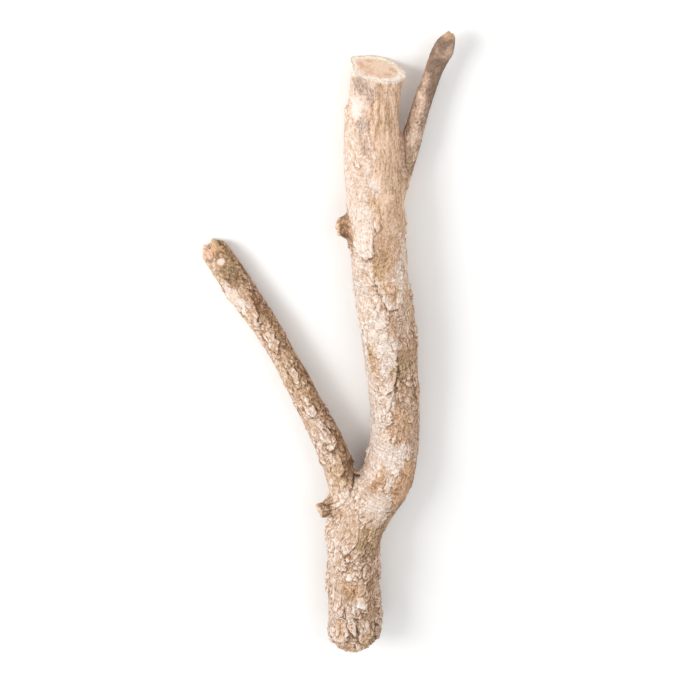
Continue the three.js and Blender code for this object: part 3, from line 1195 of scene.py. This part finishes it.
def bark_material():
    s = Shader("flaking_bark")
    grit = s.noise(s.grain(0.8, 1, 1), 0.8 * MM, 2, 0.6)
    speck = s.noise(s.grain(0.75, 1, 1), 1.4 * MM, 2, 0.6)
    crumb = s.noise(s.grain(0.65, 1, 1), 3.4 * MM, 4, 0.65)
    coarse = s.noise(s.grain(0.5, 1, 1), 10 * MM, 3, 0.55)
    broad = s.noise(s.grain(0.35, 1, 1), 30 * MM, 2, 0.5)
    streak = s.noise(s.grain(0.1, 1, 1), 1.8 * MM, 3, 0.6)
    threads = s.times(s.mark("thread"), s.ranged(streak, 0.3, 0.7))
    crease = s.noise(s.grain(1, 0.22, 0.22), 1.7 * MM, 3, 0.6, 0.4)
    creases = s.times(s.mark("cross"), s.ranged(crease, 0.62, 0.4))

    place = s.warped(s.grain(0.62, 1, 1), 4 * MM, 3.2 * MM)
    edge, plate = s.plates(place, 3.6 * MM)
    small_edge, small_plate = s.plates(place, 1.7 * MM)
    cracked = s.times(s.mark("plates"), s.ranged(coarse, 0.4, 0.55, 0.4, 1))
    # The crack lines darken the tone below as painted shade in the cracks between plates.
    crack = s.times(s.ranged(edge, 0.13, 0.03), s.ranged(crumb, 0.4, 0.55))
    small_crack = s.times(s.ranged(small_edge, 0.16, 0.04), s.ranged(crumb, 0.55, 0.45))
    crack = s.times(s.larger(crack, s.times(small_crack, 0.5)), cracked)
    plated = s.added(0.5, s.times(plate, cracked), 0.25, 0.7)
    plated = s.added(plated, s.times(small_plate, cracked), 0.25, 0.5)

    uneven = 0.0
    for value, middle, weight in (
        (grit, 0.5, 0.6),
        (speck, 0.5, 0.8),
        (crumb, 0.5, 0.5),
        (coarse, 0.5, 0.36),
        (broad, 0.5, 0.36),
        (plated, 0.5, 0.26),
        (crack, 0.06, -0.45),
    ):
        uneven = s.added(uneven, value, middle, weight)
    lively = s.ranged(s.mark("tone"), 0.6, 0.9, 1, 0.85)
    lively = s.times(s.ranged(s.mark("calm"), 0, 1, 1, 0.3), lively)
    tone = s.math("ADD", s.mark("tone"), s.math("MULTIPLY", uneven, lively))
    # Raised pales the ridges and darkens the hollows, partly as the outer bark's own colour and partly as
    # painted shade. Creases add painted shade in their troughs. Rim is the flakes' pale edges with a painted
    # highlight.
    for value, middle, weight in (
        (s.mark("raised"), 0.5, 0.28),
        (threads, 0.0, 0.42),
        (s.mark("thread"), 0.0, -0.08),
        (creases, 0.0, -0.16),
        (s.mark("rim"), 0.0, 0.24),
    ):
        tone = s.added(tone, value, middle, weight)
    pink = s.ranged(s.noise(s.grain(0.4, 1, 1), 22 * MM, 3), 0.35, 0.65)
    pink = s.larger(s.times(pink, 0.5), s.ranged(tone, 0.4, 0.85, 0, 0.9))
    colour = s.mix(pink, s.ramp(tone, 1), s.ramp(tone, 2))
    for name, tint in (("olive", OLIVE), ("rust", RUST), ("grey", GREY)):
        colour = s.mix(s.times(s.mark(name), 0.8), colour, tint, "COLOR")
    # The gap mark is painted shade: a dark brown in cracks, creases, under loose flakes, beside the stubs
    # and in hollows at the broken ends.
    gap = s.times(s.mark("gap"), s.ranged(crumb, 0.35, 0.6, 0.35, 1))
    colour = s.mix(s.times(gap, 0.8), colour, DARK)
    colour = s.mix(s.ranged(s.mark("wood"), 0.3, 0.7), colour, sawn_colour(s))
    s.feed(s.surface.inputs["Base Color"], colour)

    s.feed(s.surface.inputs["Roughness"], s.ranged(crumb, 0.3, 0.7, 0.78, 0.95))
    s.surface.inputs["Specular IOR Level"].default_value = 0.25

    bump = s.added(s.added(crumb, speck, 0.5, 0.8), threads, 0.0, 0.6)
    bump = s.added(bump, grit, 0.5, 0.4)
    bump = s.added(bump, creases, 0.0, -0.3)
    bump = s.added(s.added(bump, plated, 0.5, 0.35), crack, 0.0, -0.5)
    normal = s.node("Bump", {"Strength": 1.0, "Distance": 1.0 * MM, "Height": bump}).outputs[0]
    s.feed(s.surface.inputs["Normal"], normal)
    return s.material


def sawn_colour(s):
    """Rings of pale wood, with a cream rim where the saw went through the bark, and painted shade in the
    hollows of the broken wood.
    """
    wander = s.noise(s.grain(1, 1, 1), 6 * MM, 3)
    ring = s.added(s.mark("ring"), wander, 0.5, 0.16)
    wave = s.math("SINE", s.math("MULTIPLY", ring, 2 * math.pi * YEARS))
    fine = s.noise(s.grain(1, 1, 1), 1.5 * MM, 2)
    wood = s.mix(s.ranged(wave, 0.0, 1, 0, 0.4), WOOD, WOOD_RING)
    wood = s.mix(s.ranged(wander, 0.42, 0.68, 0, 0.6), wood, WOOD_RING)
    band = s.times(s.ranged(ring, 0.42, 0.56), s.ranged(ring, 0.72, 0.6))
    wood = s.mix(s.times(band, s.ranged(wander, 0.4, 0.55, 0, 0.75)), wood, WOOD_RING)
    rim = s.mix(s.ranged(fine, 0.45, 0.7, 0, 0.5), WOOD_PALE, WOOD)
    wood = s.mix(s.ranged(s.mark("ring"), BARK_SHARE - 0.02, BARK_SHARE + 0.02), wood, rim)
    wood = s.mix(s.ranged(fine, 0.5, 0.7, 0, 0.45), wood, WOOD_RING)
    wood = s.mix(s.times(s.mark("grey"), 1.2), wood, WORN_WOOD)
    # Painted shade in the hollows of the broken wood, where the gap mark is.
    return s.mix(s.ranged(s.mark("gap"), 0.2, 1, 0, 0.7), wood, WOOD_SHADE)


def floor_material():
    s = Shader("pale_floor")
    patch = s.noise(s.node("TexCoord").outputs["Object"], 0.3, 2)
    s.feed(s.surface.inputs["Base Color"], s.mix(patch, srgb(248, 248, 247), srgb(252, 252, 251)))
    s.surface.inputs["Roughness"].default_value = 0.9
    return s.material


# == The studio: a pale floor, soft light from the left, and the camera.

AIM = Vector((15.7 * MM, 10.5 * MM, 20 * MM))
CAMERA_TILT = math.radians(30)  # from straight down
CAMERA_DISTANCE = 1.4
LENS_MM = 110.8
SENSOR_MM = 36


def make_floor():
    bpy.ops.mesh.primitive_plane_add(size=8)
    floor = bpy.context.object
    floor.name = "studio_floor"
    floor.data.materials.append(floor_material())
    floor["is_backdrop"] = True


def make_light(name, place, size, power):
    light = bpy.data.lights.new(name, "AREA")
    light.size = size
    light.energy = power
    lamp = in_scene(name, light)
    lamp.location = place
    lamp.rotation_euler = (AIM - lamp.location).to_track_quat("-Z", "Y").to_euler()


def make_world(strength):
    world = bpy.data.worlds.new("studio")
    world.use_nodes = True
    background = world.node_tree.nodes["Background"]
    background.inputs["Color"].default_value = (1, 1, 1, 1)
    background.inputs["Strength"].default_value = strength
    bpy.context.scene.world = world


def make_camera():
    lens = bpy.data.cameras.new("camera")
    lens.lens = LENS_MM
    lens.sensor_width = SENSOR_MM
    camera = in_scene("camera", lens)
    back = Vector((0, math.sin(CAMERA_TILT), math.cos(CAMERA_TILT)))
    camera.location = AIM + back * CAMERA_DISTANCE
    camera.rotation_euler = (-CAMERA_TILT, 0, 0)
    bpy.context.scene.camera = camera


make_camera()
branch_pieces(bark_material())
make_floor()
make_light("key", (-1.3, 0.5, 1.2), 0.9, 20)
make_light("fill", (1.0, 1.0, 1.4), 1.2, 7)
make_world(0.74)
bpy.context.scene.view_settings.view_transform = "Standard"

shown_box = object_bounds()
sizes = {"cad": [list(corner) for corner in cad_box], "visual": [list(corner) for corner in shown_box]}
